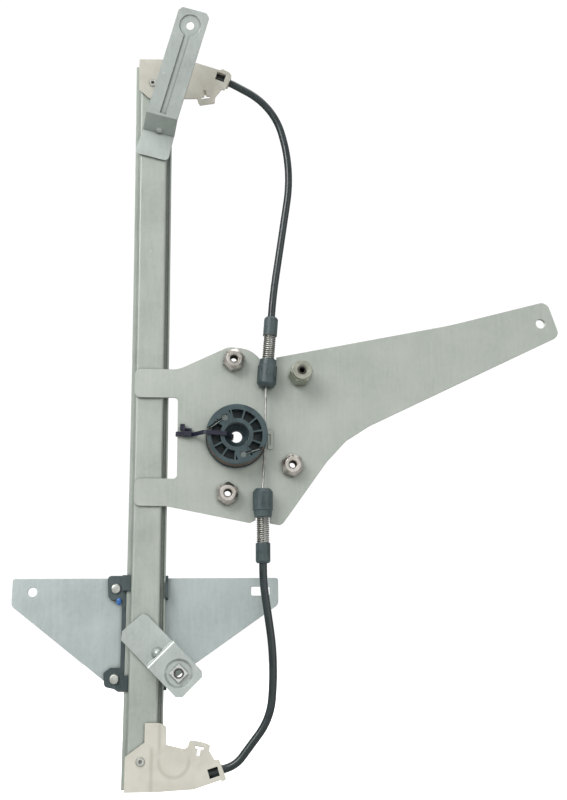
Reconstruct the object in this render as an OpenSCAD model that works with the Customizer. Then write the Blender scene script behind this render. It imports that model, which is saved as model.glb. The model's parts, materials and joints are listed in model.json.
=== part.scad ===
// Window regulator for a car door: a single curved rail, a carrier that holds the glass,
// and a closed cable loop wound on a drum on the motor plate.
// The drive axis is the Y axis and the motor plate's front face is the plane Y = 0.
// Z points up along the rail, X points to the arm of the motor plate, -Y points into the car.

/* [Rail] */
// radius of the rail's sweep, at the front of its web
rail_curve = 1500; // [900:50:3000]
// distance of the rail's centreline from the drive axis
rail_offset = 56.6; // [50:0.5:80]
// where the rail ends above the drive axis, in degrees of the sweep
rail_top_angle = 9.75; // [9.5:0.05:10.5]
// where the rail ends below the drive axis, in degrees of the sweep
rail_bottom_angle = 8.2; // [8.1:0.05:9]
// width over both flanges
rail_width = 24.5; // [22:0.5:30]
// width of the raised web
web_width = 18.2; // [16:0.2:20]
// depth from the front of the web to the back of the flanges
rail_depth = 10; // [8:0.5:14]
// thickness of the rail's strip
rail_gauge = 1.2; // [0.8:0.1:2]
// outside bend radius of the rail
rail_bend = 1.6; // [1.3:0.1:3]
// how far the right flange's edge is turned forward
lip_height = 1.2; // [0.5:0.1:2]

/* [Motor plate] */
// thickness of the motor plate
plate_gauge = 1.5; // [1:0.1:3]
// height of the upper finger on the rail
upper_finger = 19; // [14:0.5:24]
// height of the lower finger on the rail
lower_finger = 17.4; // [14:0.2:24]
// clear height of the window between the fingers
window_height = 53.2; // [40:0.2:60]
// distance of the window's right edge from the drive axis
window_edge = 38; // [30:0.5:42]
// corner radius of the fingers
finger_radius = 4; // [1:0.5:6]
// distance of the arm's hole from the drive axis, along X
arm_hole_x = 207.3; // [180:0.1:212]
// height of the arm's hole over the drive axis
arm_hole_z = 80.3; // [76:0.1:84]
// diameter of the arm's hole
arm_hole_d = 6.6; // [4:0.1:8]
// outside diameter of the drum's bearing collar on the plate
collar_d = 12; // [10:0.5:16]
// height of the drum's bearing collar
collar_height = 2.6; // [1.5:0.1:4]

/* [Nuts] */
// width across flats of the motor nuts and of the standoff
nut_flats = 13; // [10:0.5:16]
// height of the motor nuts
nut_height = 9; // [5:0.5:12]
// tapping bore of the motor nuts
nut_bore = 5; // [4:0.1:6]
// height of the standoff
standoff_height = 19; // [12:0.5:26]
// tapping bore of the standoff
standoff_bore = 4.2; // [3:0.1:5]
// side of the square nut in the lower bracket
square_side = 8; // [7:0.2:10]

/* [Drum and cable] */
// radius at which the cable lies on the drum
pitch_radius = 18.3; // [17:0.1:20]
// diameter of the drive cable
cable_d = 1.5; // [1.2:0.1:2]
// radius of the drum's front rim
drum_radius = 19.8; // [19.5:0.1:22]
// width of the drum along its axis
drum_width = 13.7; // [12:0.1:16]
// number of cable grooves
groove_count = 5; // [3:1:6]
// distance from groove to groove
groove_pitch = 1.9; // [1.8:0.1:2.4]
// radius of the drive recess in the drum's hub
recess_radius = 8; // [6:0.1:9]
// depth of the drive recess
recess_depth = 10; // [7:0.5:11]
// hole in the floor of the drive recess
drum_hole = 7.4; // [4:0.2:8]

/* [Tensioners] */
// distance of the cable's line from the plate's face
cable_height = 7.5; // [6.5:0.1:9]
// lean of the upper tensioner away from the rail, in degrees
upper_lean = 4.4; // [0:0.5:6]
// outside diameter of the sockets
socket_d = 12.8; // [11:0.2:13]
// length of the sockets without their shoulder
socket_length = 14; // [12:0.5:20]
// length of the socket's shoulder
shoulder_length = 4; // [2:0.5:6]
// outside diameter of the springs
spring_d = 8.1; // [6.5:0.1:9]
// diameter of the spring wire
wire_d = 1.1; // [0.8:0.1:1.4]
// distance from coil to coil
coil_pitch = 1.32; // [1.3:0.01:2]
// outside diameter of the tension caps
cap_d = 9.3; // [9:0.1:12]
// length of the tension caps
cap_length = 12.4; // [8:0.2:16]

/* [Conduits] */
// outside diameter of the conduits
conduit_d = 5; // [4.5:0.1:6]
// bore of the conduits
conduit_bore = 2.4; // [2:0.1:3]
// outside diameter of the conduits' end ferrules
ferrule_d = 6.2; // [6:0.1:7]
// length of the end ferrules
ferrule_length = 11; // [7:0.5:12]

/* [Cable guides] */
// thickness of the guides' front wall
guide_front = 1.8; // [1.2:0.1:3]
// thickness of the wall round the cable's bend in a guide
guide_wall = 1.4; // [1:0.1:2.5]
// radius at which the cable bends round in a guide
bend_radius = 12.6; // [11:0.1:13]
// radius of the round core that the cable bends around
core_radius = 8.4; // [7:0.1:10]

/* [Carrier] */
// width of the carrier plate
carrier_width = 169; // [140:1:200]
// height of the carrier plate
carrier_height = 70.2; // [60:0.1:90]
// thickness of the carrier plate
carrier_gauge = 1.5; // [1:0.1:3]
// diameter of the carrier's round hole
glass_hole_d = 6; // [5:0.5:9]
// length of the carrier's slot
slot_length = 12; // [8:0.5:16]

/* [Brackets] */
// thickness of the bracket strips
bracket_gauge = 1.5; // [1:0.1:3]
// width of the bracket strips
bracket_width = 20.6; // [18:0.2:24]
// how far the upper bracket steps forward from the rail
upper_step = 18; // [10:0.5:30]
// length of the upper bracket's head
upper_head = 70.5; // [50:0.5:90]
// diameter of the upper bracket's hole
upper_hole_d = 5.2; // [4:0.1:8]
// how far the lower bracket steps forward from the rail
lower_step = 12; // [6:0.5:20]
// length of the lower bracket's head
lower_head = 28; // [24:0.5:36]

/* [Hidden] */
$fn = 48;
cut = 1; // how far a cutting shape runs past the face it cuts
rail_seat = 0.7; // gap between plate and web on the drive axis, where the rail bows away
web_y = plate_gauge + rail_seat;
top_angle = 9.2; // place of the top guide on the sweep
bottom_angle = -7.6; // place of the bottom guide on the sweep
carrier_angle = -4.665; // place of the carrier on the sweep
half_web = web_width / 2;
half_rail = rail_width / 2;
flange_front = rail_depth - rail_gauge;
inner_wall = half_web - rail_gauge;
cable_depth = 4.5; // the cable's line behind the front of the web
cable_side = 5.6; // the cable's line beside the rail's centreline
cable_r = cable_d / 2;
run_gap = 0.3; // gap between parts that slide past each other
fit_gap = 0.05; // radial gap of parts that are put together
guide_seat = 0.2; // gap that the straight guides and brackets leave on the bowed web
core_x = cable_side + bend_radius;
top_slope = 18; // how far the upper conduit points below level where it enters its guide
bottom_slope = 16.4; // the same for the lower conduit, above level
mouth_x = 51.2; // where the conduit enters a guide, from the rail's centreline
top_mouth_z = 3.7;
bottom_mouth_z = -4.2;
conduit_r = conduit_d / 2;

module steel_colour() color([0.72, 0.74, 0.72]) children();
module nut_colour() color([0.70, 0.64, 0.60]) children();
module dark_plastic() color([0.22, 0.28, 0.30]) children();
module pale_plastic() color([0.86, 0.85, 0.78]) children();
module black_plastic() color([0.10, 0.11, 0.12]) children();
module bright_wire() color([0.62, 0.64, 0.65]) children();

// ---- shapes shared by several parts

// corner i of an outline, rounded: each corner is [x, y, radius]
function unit(v) = v / norm(v);
function corner(list, i) = let (
    n = len(list),
    here = [list[i][0], list[i][1]],
    back = unit([list[(i + n - 1) % n][0], list[(i + n - 1) % n][1]] - here),
    ahead = unit([list[(i + 1) % n][0], list[(i + 1) % n][1]] - here),
    r = list[i][2],
    half = acos(max(-1, min(1, back * ahead))) / 2
  ) r == 0 ? [here] : let (
    centre = here + unit(back + ahead) * r / sin(half),
    start = here + back * r / tan(half) - centre,
    finish = here + ahead * r / tan(half) - centre,
    turn = 180 - 2 * half,
    side = sign(start[0] * finish[1] - start[1] * finish[0]),
    steps = max(2, ceil(turn / 15))
  ) [for (k = [0:steps]) centre + spin(start, side * turn * k / steps)];
function spin(v, a) = [v[0] * cos(a) - v[1] * sin(a), v[0] * sin(a) + v[1] * cos(a)];
function rounded(list) = [for (i = [0:len(list) - 1]) each corner(list, i)];

// sheet lying in the XZ plane, from y0 to y1
module sheet(list, y0, y1) {
  translate([0, y1, 0])
    rotate([90, 0, 0])
      linear_extrude(height = y1 - y0)
        polygon(list);
}

// folded strip: its section in the YZ plane, swept along X from x0 to x1
module folded(list, x0, x1) {
  translate([x0, 0, 0])
    rotate([90, 0, 90])
      linear_extrude(height = x1 - x0)
        polygon(list);
}

// block between two opposite corners
module block(a, b) {
  translate(a)
    cube(b - a);
}

// cylinder along Y, from y0 to y1
module boss(x, z, r, y0, y1) {
  translate([x, y1, z])
    rotate([90, 0, 0])
      cylinder(r = r, h = y1 - y0);
}

module cone(x, z, r0, r1, y0, y1) {
  translate([x, y1, z])
    rotate([90, 0, 0])
      cylinder(r1 = r1, r2 = r0, h = y1 - y0);
}

// straight rod between two points
module rod(p, q, r) {
  d = q - p;
  translate(p)
    rotate([0, acos(d[2] / norm(d)), atan2(d[1], d[0])])
      cylinder(r = r, h = norm(d));
}

// rod that follows straights and bends from the origin, heading up;
// a step is [length] or [radius, turn], and a positive turn leads to +X;
// a ball a little wider than the rod joins each step to the next
joint_gap = 0.12;
function joint_r(r) = sqrt(r * r + 5 * joint_gap * joint_gap);

module joint(r) {
  sphere(r = joint_r(r));
}

module straight(from, to, r) {
  translate([0, 0, from + joint_gap])
    cylinder(r = r, h = to - from - 2 * joint_gap);
}

module route(steps, r, i = 0) {
  joint(r);
  if (i < len(steps)) {
    s = steps[i];
    if (len(s) == 1) {
      straight(0, s[0], r);
      translate([0, 0, s[0]])
        route(steps, r, i + 1);
    } else {
      side = sign(s[1]);
      angle = abs(s[1]);
      trim = 180 / PI * joint_gap / s[0];
      translate([side * s[0], 0, 0])
        rotate([90, 0, side > 0 ? 180 : 0])
          rotate([0, 0, trim])
            rotate_extrude(angle = angle - 2 * trim, $fn = 96)
              translate([s[0], 0])
                circle(r = r, $fn = 32);
      translate([side * s[0] * (1 - cos(angle)), 0, s[0] * sin(angle)])
        rotate([0, side * angle, 0])
          route(steps, r, i + 1);
    }
  }
}

// place on the rail: the origin on the front of the web, Z along the sweep
module on_rail(angle) {
  translate([-rail_offset, web_y - rail_curve, 0])
    rotate([angle, 0, 0])
      translate([0, rail_curve, 0])
        children();
}

// section in [depth, x] swept along the rail
module along_rail(from, to) {
  translate([-rail_offset, web_y - rail_curve, 0])
    rotate([90, 0, 90])
      rotate([0, 0, from])
        rotate_extrude(angle = to - from, $fn = 720)
          translate([rail_curve, 0])
            children();
}

// ---- guide rail

module rail_section() {
  lip = rail_gauge;
  polygon(rounded([
    [flange_front, -half_rail, 0.3],
    [flange_front, -half_web, 0.5],
    [0, -half_web, rail_bend],
    [0, half_web, rail_bend],
    [flange_front, half_web, 0.5],
    [flange_front, half_rail - lip, 0.4],
    [flange_front - lip_height, half_rail - lip, 0],
    [flange_front - lip_height, half_rail, 0.3],
    [rail_depth, half_rail, 0.6],
    [rail_depth, inner_wall, 0.4],
    [rail_gauge, inner_wall, 0.5],
    [rail_gauge, -inner_wall, 0.5],
    [rail_depth, -inner_wall, 0.4],
    [rail_depth, -half_rail, 0.3]
  ]));
}

// room for the cable to pass from a guide's core into the channel
module rail_notch(z0, z1) {
  block([cable_side - 3, rail_gauge + 0.2, z0], [half_rail + cut, rail_depth + cut, z1]);
}

module guide_rail() {
  steel_colour()
    difference() {
      along_rail(-rail_bottom_angle, rail_top_angle)
        rail_section();
      on_rail(top_angle) {
        rail_notch(-1, 30);
        boss(guide_rivet_x, 0, guide_rivet_r + fit_gap, -cut, 3);
      }
      on_rail(bottom_angle) {
        rail_notch(-30, 1);
        boss(guide_rivet_x, 0, guide_rivet_r + fit_gap, -cut, 3);
      }
    }
}

// ---- cable guides

guide_rivet_x = -0.6;
guide_rivet_r = 2;
guide_back = flange_front - run_gap;
// the bend's centre is where a conduit's line, past its mouth, meets the bend
function bend_z(slope, mouth_z, way) =
  mouth_z + way * (tan(slope) * (mouth_x - core_x - bend_radius * sin(slope)) - bend_radius * cos(slope));
top_core_z = bend_z(top_slope, top_mouth_z, 1);
bottom_core_z = bend_z(bottom_slope, bottom_mouth_z, -1);

// frame on a conduit's line inside a guide: the origin at the mouth, Z pointing inwards
module at_mouth(slope, mouth_z, way) {
  translate([mouth_x, cable_depth, mouth_z])
    rotate([0, -90 + way * slope, 0])
      children();
}

// what both guides have: seat block for the conduit, core, and channel wall round the core
module guide_inside(slope, mouth_z, core_z, way) {
  inside = -guide_seat - 0.5;
  at_mouth(slope, mouth_z, way)
    block([way > 0 ? -3.8 : -4.9, inside - cable_depth, 0.4], [4.9, guide_back - cable_depth, 14.8]);
  intersection() {
    boss(core_x, core_z, core_radius, inside, guide_back);
    block([0, -cut, min(core_z - way * 3, core_z + way * 20)], [60, rail_depth, max(core_z - way * 3, core_z + way * 20)]);
  }
  difference() {
    boss(core_x, core_z, bend_radius + 1.2 + guide_wall, inside, guide_back);
    boss(core_x, core_z, bend_radius + 1.2, -cut, guide_back + cut);
    block([-cut, -cut, -way * 30 + core_z - 30], [half_web + 0.4, rail_depth, -way * 30 + core_z + 30]);
    block([half_web - 30, -cut, core_z - 40], [core_x - 9, rail_depth, core_z + 40]);
    block([-cut, -cut, min(core_z, core_z - way * 40)], [60, rail_depth, max(core_z, core_z - way * 40)]);
  }
}

// conduit, ferrule and cable room, and the window that shows the ferrule
module guide_openings(slope, mouth_z, window_x, window_z, way) {
  at_mouth(slope, mouth_z, way) {
    block([-1.4, -1.4, 14], [1.4, guide_back, reach(slope) + 1]);
    translate([0, 0, -cut])
      cylinder(r = conduit_r + fit_gap, h = 6);
    translate([0, 0, 2.2])
      cylinder(r = ferrule_d / 2 + fit_gap, h = ferrule_length + 0.4);
    cylinder(r = 1.2, h = 18);
  }
  translate([window_x, 0, window_z])
    rotate([0, way * slope, 0])
      block([-3.1, -guide_front - cut, -2.7], [3.1, cable_depth, 2.7]);
}

top_outline = [
  [-9.8, 15.9, 0], [6, 16.4, 0], [27.9, 15, 0], [44.5, 10.4, 0], [46.5, 11.1, 0.8], [50.9, 9, 1],
  [52.3, 7, 0], [51.8, 4.9, 0], [47.6, -3.2, 0.8], [45.8, -2.7, 0], [41.5, -8.3, 0], [41.2, -12.4, 0.8],
  [30.9, -14.2, 0.8], [29.8, -12.1, 0], [29.2, -9.6, 1], [12.5, -10.4, 0], [-3.1, -10.4, 0], [-9.8, -4.5, 0]
];
top_walls = [
  [-9.8, 15.9, 0], [6, 16.4, 0], [27.9, 15, 0], [44.5, 10.4, 0], [46.5, 11.1, 0.8], [50.9, 9, 1],
  [52.3, 7, 0], [51.8, 4.9, 0], [50, 1.2, 0], [44, 0.6, 0], [38, -4.6, 0], [-9.8, -4.6, 0]
];
top_cavity = [
  [half_web + 0.4, 15.6, 0], [27.9, 14.2, 0], [41.6, 10.2, 0], [46.2, 6, 0], [43.2, 2, 0],
  [37.4, -3.2, 0], [half_web + 0.4, -3.2, 0]
];

module top_guide_shape() {
  difference() {
    union() {
      sheet(rounded(top_outline), -guide_front - guide_seat, -guide_seat);
      difference() {
        sheet(rounded(top_walls), -guide_seat - 0.5, guide_back);
        sheet(rounded(top_cavity), -guide_seat, guide_back + cut);
      }
      intersection() {
        guide_inside(top_slope, top_mouth_z, top_core_z, 1);
        sheet(rounded(top_walls), -guide_seat - 0.5, guide_back);
      }
    }
    block([-half_web - 3, -guide_seat, -60], [half_web + 0.4, rail_depth, 60]);
    block([half_web, lip_room, -60], [half_rail + 0.4, rail_depth, 1]);
    guide_openings(top_slope, top_mouth_z, 44.9, 5.7, 1);
    boss(guide_rivet_x, 0, guide_rivet_r + fit_gap, -guide_front - cut, cut);
    translate([35, 0, -8.8])
      rotate([0, -9, 0]) {
        block([-2.9, -5, -0.65], [2.9, rail_depth, 0.65]);
        block([-0.8, -5, 0], [0.8, rail_depth, 5]);
      }
  }
}

module top_cable_guide() {
  pale_plastic()
    on_rail(top_angle)
      top_guide_shape();
}

bottom_outline = [
  [-9.8, 2.9, 0], [1.6, 11, 0], [1.6, 22.1, 0.6], [10.6, 22.1, 0], [14.2, 20.3, 0.6], [14.2, 10, 0.6],
  [15.5, 9.3, 0], [25.5, 7, 1], [27.5, 8.2, 0], [28.5, 11.8, 0.8], [32.2, 11.6, 0], [37.7, 10.3, 0],
  [40.8, 9, 0.8], [40.5, 5.4, 0], [43.6, 0.5, 0.5], [46.4, 0.6, 0.8], [50.6, -10.7, 0.8], [48.8, -11.7, 0],
  [46.9, -11.2, 0], [31.3, -16, 0], [9.3, -17.1, 0], [-9.8, -17.1, 0]
];
bottom_cavity = [
  [half_web + 0.4, 7.6, 0], [25.6, 5.4, 0], [32.6, 3.6, 0], [39.6, 3, 0], [43, -1, 0], [45.6, -6, 0],
  [45, -10, 0], [31, -14.4, 0], [half_web + 0.4, -15.4, 0]
];

module bottom_guide_shape() {
  difference() {
    union() {
      difference() {
        sheet(rounded(bottom_outline), -guide_front - guide_seat, guide_back);
        sheet(rounded(bottom_cavity), -guide_seat, guide_back + cut);
      }
      intersection() {
        guide_inside(bottom_slope, bottom_mouth_z, bottom_core_z, -1);
        sheet(rounded(bottom_outline), -guide_front - guide_seat, guide_back);
      }
    }
    block([-half_web - 3, -guide_seat, -60], [half_web + 0.4, rail_depth, 60]);
    block([half_web, lip_room, -1], [half_rail + 0.4, rail_depth, 60]);
    guide_openings(bottom_slope, bottom_mouth_z, 43, -6.8, -1);
    boss(guide_rivet_x, 0, guide_rivet_r + fit_gap, -guide_front - cut, cut);
    translate([34.5, 0, 7.6])
      rotate([0, 11, 0]) {
        block([-2.5, -5, -0.7], [2.5, rail_depth, 0.7]);
        block([-0.8, -5, -4.6], [0.8, rail_depth, 0]);
      }
  }
}
lip_room = flange_front - lip_height - 2 * run_gap;

module bottom_cable_guide() {
  pale_plastic()
    on_rail(bottom_angle)
      bottom_guide_shape();
}

// tubular rivets that hold the guides on the web
module guide_rivet() {
  face = -guide_front - guide_seat;
  difference() {
    union() {
      boss(guide_rivet_x, 0, guide_rivet_r, face - 0.2, 2.2);
      cone(guide_rivet_x, 0, 2.2, 2.8, face - 1, face);
      boss(guide_rivet_x, 0, 2.6, rail_gauge, 2.2);
    }
    boss(guide_rivet_x, 0, 1.1, face - 2, 0.6);
  }
}

module guide_rivets() {
  steel_colour() {
    on_rail(top_angle)
      guide_rivet();
    on_rail(bottom_angle)
      guide_rivet();
  }
}

// ---- motor plate and what is fixed on it

window_half = window_height / 2;
upper_finger_end = rail_offset + 9.6;
lower_finger_end = rail_offset + 8.5;

plate_outline = [
  [-upper_finger_end, window_half, finger_radius],
  [-window_edge, window_half, 2.5],
  [-window_edge, -window_half, 2.5],
  [-lower_finger_end, -window_half, finger_radius],
  [-lower_finger_end, -window_half - lower_finger, finger_radius],
  [-44, -window_half - lower_finger - 0.3, 20],
  [9, -55, 2],
  [12.6, -53.3, 0],
  [12.6, -50.4, 1],
  [21.6, -50.4, 1],
  [21.6, -55.3, 1],
  [29.4, -56.6, 4],
  [70.6, 0.4, 75],
  [arm_hole_x + 12.7, arm_hole_z - 8.5, 5],
  [arm_hole_x + 5.1, arm_hole_z + 15.9, 5.5],
  [144.5, 78.2, 150],
  [26.4, 54.3, 0.6],
  [26.4, 49, 1],
  [15.7, 49, 1],
  [15.7, 53.2, 0.6],
  [9.3, 59.8, 16],
  [-5, 61.2, 10],
  [-37.8, window_half + upper_finger - 0.1, 15],
  [-upper_finger_end, window_half + upper_finger, finger_radius]
];

// motor nuts: [x, z, turn about their axis]
motor_nut_places = [[-1.7, 51.3, 14], [-5.5, -36.7, 27], [36.2, -18.3, 39]];
standoff_place = [42, 41.8];
pilot_r = 3.7;

module motor_plate() {
  steel_colour()
    difference() {
      union() {
        sheet(rounded(plate_outline), 0, plate_gauge);
        boss(0, 0, collar_d / 2, -collar_height, plate_gauge);
        boss(arm_hole_x, arm_hole_z, arm_hole_d / 2 + 1.3, 0, plate_gauge + 1.4);
        keeper();
      }
      boss(0, 0, collar_d / 2 - 1.4, -collar_height - cut, plate_gauge + cut);
      boss(arm_hole_x, arm_hole_z, arm_hole_d / 2, -cut, plate_gauge + 3);
      for (p = motor_nut_places)
        boss(p[0], p[1], pilot_r + fit_gap, -cut, plate_gauge + cut);
      boss(standoff_place[0], standoff_place[1], pilot_r + fit_gap, -cut, plate_gauge + cut);
      upper_tensioner_place()
        socket_pegs(peg_r + fit_gap);
      lower_tensioner_place()
        socket_pegs(peg_r + fit_gap);
    }
}

// pressed pad beside the drum that keeps the slack cable on its groove
module keeper() {
  difference() {
    sheet(rounded([[20.6, -7.3, 0.8], [24.1, -7.3, 0.8], [24.1, 5.3, 0.8], [20.6, 5.3, 0.8]]), -0.9, cut);
    block([20, -2, -4.6], [22.4, -0.3, 2.6]);
  }
}

// hexagonal nut with a turned collar, standing on the plate's front
module hex_post(height, collar, bore, mouth) {
  difference() {
    union() {
      rotate([90, 0, 0])
        cylinder(r = nut_flats / sqrt(3), h = height - collar, $fn = 6);
      boss(0, 0, nut_flats / 2 - 0.3, -height, -height + collar);
      boss(0, 0, pilot_r, -cut, plate_gauge);
    }
    boss(0, 0, bore / 2, -height - cut, plate_gauge + cut);
    cone(0, 0, mouth, bore / 2, -height, -height + mouth - bore / 2);
  }
}

// the nuts' corners are turned down to a cone at the top
module motor_nut() {
  intersection() {
    hex_post(nut_height, 0.6, nut_bore, nut_bore / 2 + 0.5);
    union() {
      cone(0, 0, nut_flats / 2 - 1.6, nut_flats / 2 + 1.5, -nut_height, -nut_height + 3);
      boss(0, 0, nut_flats / 2 + 1.5, -nut_height + 3, plate_gauge + cut);
    }
  }
}

module motor_nuts() {
  nut_colour()
    for (p = motor_nut_places)
      translate([p[0], 0, p[1]])
        rotate([0, -p[2], 0])
          motor_nut();
}

module standoff() {
  color([0.80, 0.82, 0.72])
    translate([standoff_place[0], 0, standoff_place[1]])
      hex_post(standoff_height, 3.6, standoff_bore, 3.5);
}

// ---- drum

drum_back = -0.3;
drum_front = drum_back - drum_width;
land_radius = pitch_radius + 0.6;
groove_r = cable_r + fit_gap;
first_groove = drum_front + 3.3;
function groove_y(i) = first_groove + i * groove_pitch;
pocket_inner = recess_radius + 2.6;
pocket_outer = 16.4;
pocket_depth = 8;
rib_half = 0.55;
// directions of the ribs between the pockets, and of the two cable end pockets
rib_angles = [104, 72, 41, 10, -20, -50];
left_rib_angles = [-94, -124, -152, 178, 146];
nipple_angles = [125, -72];
nipple_distance = 13.4;
nipple_r = 2;

module pocket_ring() {
  difference() {
    boss(0, 0, pocket_outer, drum_front - cut, drum_front + pocket_depth);
    boss(0, 0, pocket_inner, drum_front - cut, drum_front + pocket_depth + cut);
    for (a = concat(rib_angles, left_rib_angles))
      rotate([0, -a, 0])
        block([0, drum_front - cut, -rib_half], [pocket_outer + 1, cut, rib_half]);
    for (a = nipple_angles)
      rotate([0, -a, 0])
        translate([nipple_distance, 0, 0])
          block([-3.6, drum_front - cut, -4.4], [4, cut, 4.4]);
  }
}

// slot that leads the cable from its end pocket out to the grooves
module lead_slot(a, r, y0, y1) {
  rotate([0, -a, 0])
    block([nipple_distance - r, y0, 0], [nipple_distance + r, y1, 16]);
}

module cable_drum() {
  dark_plastic()
    difference() {
      union() {
        boss(0, 0, land_radius, drum_front, drum_back);
        intersection() {
          boss(0, 0, drum_radius, drum_front, drum_front + 1.8);
          rim_sector();
        }
        boss(0, 0, drum_radius, drum_back - 1.4, drum_back);
      }
      boss(0, 0, collar_d / 2 + fit_gap, drum_back - collar_height, cut);
      boss(0, 0, drum_hole / 2, drum_front, cut);
      cone(0, 0, recess_radius, recess_radius - 0.8, drum_front - 0.01, drum_front + recess_depth - 2);
      cone(0, 0, recess_radius - 0.8, drum_hole / 2 + 1, drum_front + recess_depth - 2, drum_front + recess_depth);
      for (i = [0:11])
        rotate([0, 30 * i, 0])
          boss(recess_radius - 0.9, 0, 0.8, drum_front + 5, drum_front + recess_depth - 2);
      pocket_ring();
      for (i = [0:groove_count - 1])
        translate([0, groove_y(i), 0])
          rotate([90, 0, 0])
            rotate_extrude($fn = 96)
              translate([pitch_radius, 0]) {
                circle(r = groove_r, $fn = 24);
                translate([0, -groove_r])
                  square([3, 2 * groove_r]);
              }
      for (a = nipple_angles) {
        rotate([0, -a, 0])
          boss(nipple_distance, 0, nipple_r + fit_gap, drum_front - cut, drum_front + 6);
        lead_slot(a, cable_r + 0.2, drum_front - cut, drum_front + 2.6);
      }
    }
}

// part of the circle where the front rim stands higher than the grooves
module rim_sector() {
  sheet([[0, 0], [-60, 12], [-60, 60], [60, 60], [60, -21]], drum_front - cut, 0);
}

module wound_cable() {
  bright_wire()
    for (i = [0:groove_count - 1])
      translate([0, groove_y(i), 0])
        rotate([90, 0, 0])
          rotate_extrude($fn = 96)
            translate([pitch_radius, 0])
              circle(r = cable_r, $fn = 24);
}

module drum_nipples() {
  bright_wire()
    for (a = nipple_angles)
      rotate([0, -a, 0]) {
        boss(nipple_distance, 0, nipple_r, drum_front + 0.6, drum_front + 5.8);
        rod([nipple_distance, drum_front + 1.6, 1], [nipple_distance, drum_front + 1.6, 11], cable_r);
      }
}

// ---- tensioners: sockets on the plate, springs and sliding caps

peg_r = 1.6;
upper_socket_z = 32.7;
lower_socket_z = -34.1;
cavity_floor = socket_length - 4;
spring_r = (spring_d - wire_d) / 2;
coil_count = 19;
spring_length = coil_count * coil_pitch + wire_d;
cap_start = cavity_floor + spring_length + 0.2 - 2;
conduit_end = cap_start + 6.4;

module upper_tensioner_place() {
  translate([19.2, -cable_height, upper_socket_z])
    rotate([0, upper_lean, 0])
      children();
}

module lower_tensioner_place() {
  translate([16.8, -cable_height, lower_socket_z])
    rotate([180, 0, 0])
      rotate([0, 0, 180])
        children();
}

// staking pegs through the plate; the same places are drilled in it
module socket_pegs(r) {
  for (z = [4, 10.5])
    for (side = [1, -1])
      translate([0, side * (cable_height - cut), z])
        rotate([side > 0 ? -90 : 90, 0, 0])
          cylinder(r = r, h = cut + plate_gauge + 0.8);
}

module socket_shape(side) {
  difference() {
    union() {
      cylinder(r1 = socket_d / 2 - 1.4, r2 = socket_d / 2, h = 2);
      translate([0, 0, 2])
        cylinder(r = socket_d / 2, h = socket_length - 2.5);
      translate([0, 0, socket_length - 0.5])
        cylinder(r1 = socket_d / 2, r2 = socket_d / 2 - 0.5, h = 0.5);
      translate([0, 0, socket_length - cut])
        cylinder(r1 = socket_d / 2 - 0.5, r2 = socket_d / 2 - 0.9, h = shoulder_length + cut);
      block([-4.4, min(0, side * cable_height), 1], [4.4, max(0, side * cable_height), socket_length - 1]);
      intersection() {
        socket_pegs(peg_r);
        block([-5, min(0, side * 20), 0], [5, max(0, side * 20), socket_length]);
      }
    }
    translate([0, 0, -cut])
      cylinder(r = 1.3, h = socket_length + cut);
    translate([0, 0, -0.01])
      cylinder(r1 = 3, r2 = 1.3, h = 2);
    translate([0, 0, cavity_floor])
      cylinder(r = spring_d / 2 + 0.15, h = 20);
    for (a = [0:45:315])
      rotate([0, 0, a])
        translate([socket_d / 2 + 0.5, 0, 6])
          cylinder(r = 0.9, h = 4.6);
  }
}

// one wire: each coil is a level half turn and a rising half turn
module spring_shape() {
  rise = asin(coil_pitch / (2 * spring_r));
  translate([0, 0, cavity_floor + wire_d / 2 + 0.05])
    for (i = [0:coil_count - 1])
      translate([0, 0, i * coil_pitch]) {
        rotate_extrude(angle = 180)
          translate([spring_r, 0])
            circle(r = wire_d / 2, $fn = 16);
        translate([0, 0, coil_pitch / 2])
          rotate([0, -rise, 0])
            rotate([0, 0, 180])
              rotate_extrude(angle = 180)
                translate([spring_r / cos(rise), 0])
                  circle(r = wire_d / 2, $fn = 16);
      }
}

module cap_shape() {
  translate([0, 0, cap_start])
    difference() {
      union() {
        cylinder(r = cap_d / 2, h = cap_length - 1.2);
        translate([0, 0, cap_length - 1.2])
          cylinder(r1 = cap_d / 2, r2 = cap_d / 2 - 0.8, h = 1.2);
      }
      translate([0, 0, -cut])
        cylinder(r = spring_d / 2 + 0.15, h = cut + 2);
      cylinder(r = 1.3, h = cap_length);
      translate([0, 0, 3.4])
        cylinder(r = conduit_r + fit_gap, h = cap_length);
    }
}

module upper_tension_socket() {
  dark_plastic()
    upper_tensioner_place()
      socket_shape(1);
}

module lower_tension_socket() {
  dark_plastic()
    lower_tensioner_place()
      socket_shape(-1);
}

module upper_tension_spring() {
  bright_wire()
    upper_tensioner_place()
      spring_shape();
}

module lower_tension_spring() {
  bright_wire()
    lower_tensioner_place()
      spring_shape();
}

module upper_tension_cap() {
  dark_plastic()
    upper_tensioner_place()
      cap_shape();
}

module lower_tension_cap() {
  dark_plastic()
    lower_tensioner_place()
      cap_shape();
}

// ---- conduits and drive cables

// a place given on the rail, as a point of the whole object
function rail_point(angle, x, depth, z) = [
  x - rail_offset,
  web_y - rail_curve + (rail_curve + depth) * cos(angle) - z * sin(angle),
  (rail_curve + depth) * sin(angle) + z * cos(angle)
];
upper_mouth = rail_point(top_angle, mouth_x, cable_depth, top_mouth_z);
lower_mouth = rail_point(bottom_angle, mouth_x, cable_depth, bottom_mouth_z);
straight_in_cap = cap_start + cap_length + 3;
upper_start = [
  19.2 + straight_in_cap * sin(upper_lean),
  -cable_height,
  upper_socket_z + straight_in_cap * cos(upper_lean)
];
lower_start = [16.8, -cable_height, lower_socket_z - straight_in_cap];

// a bend's shift in its plane: [across, along], from a heading, with a radius and a turn
function shift(heading, radius, turn) = radius * sign(turn)
  * [cos(heading) - cos(heading + turn), sin(heading + turn) - sin(heading)];
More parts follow.
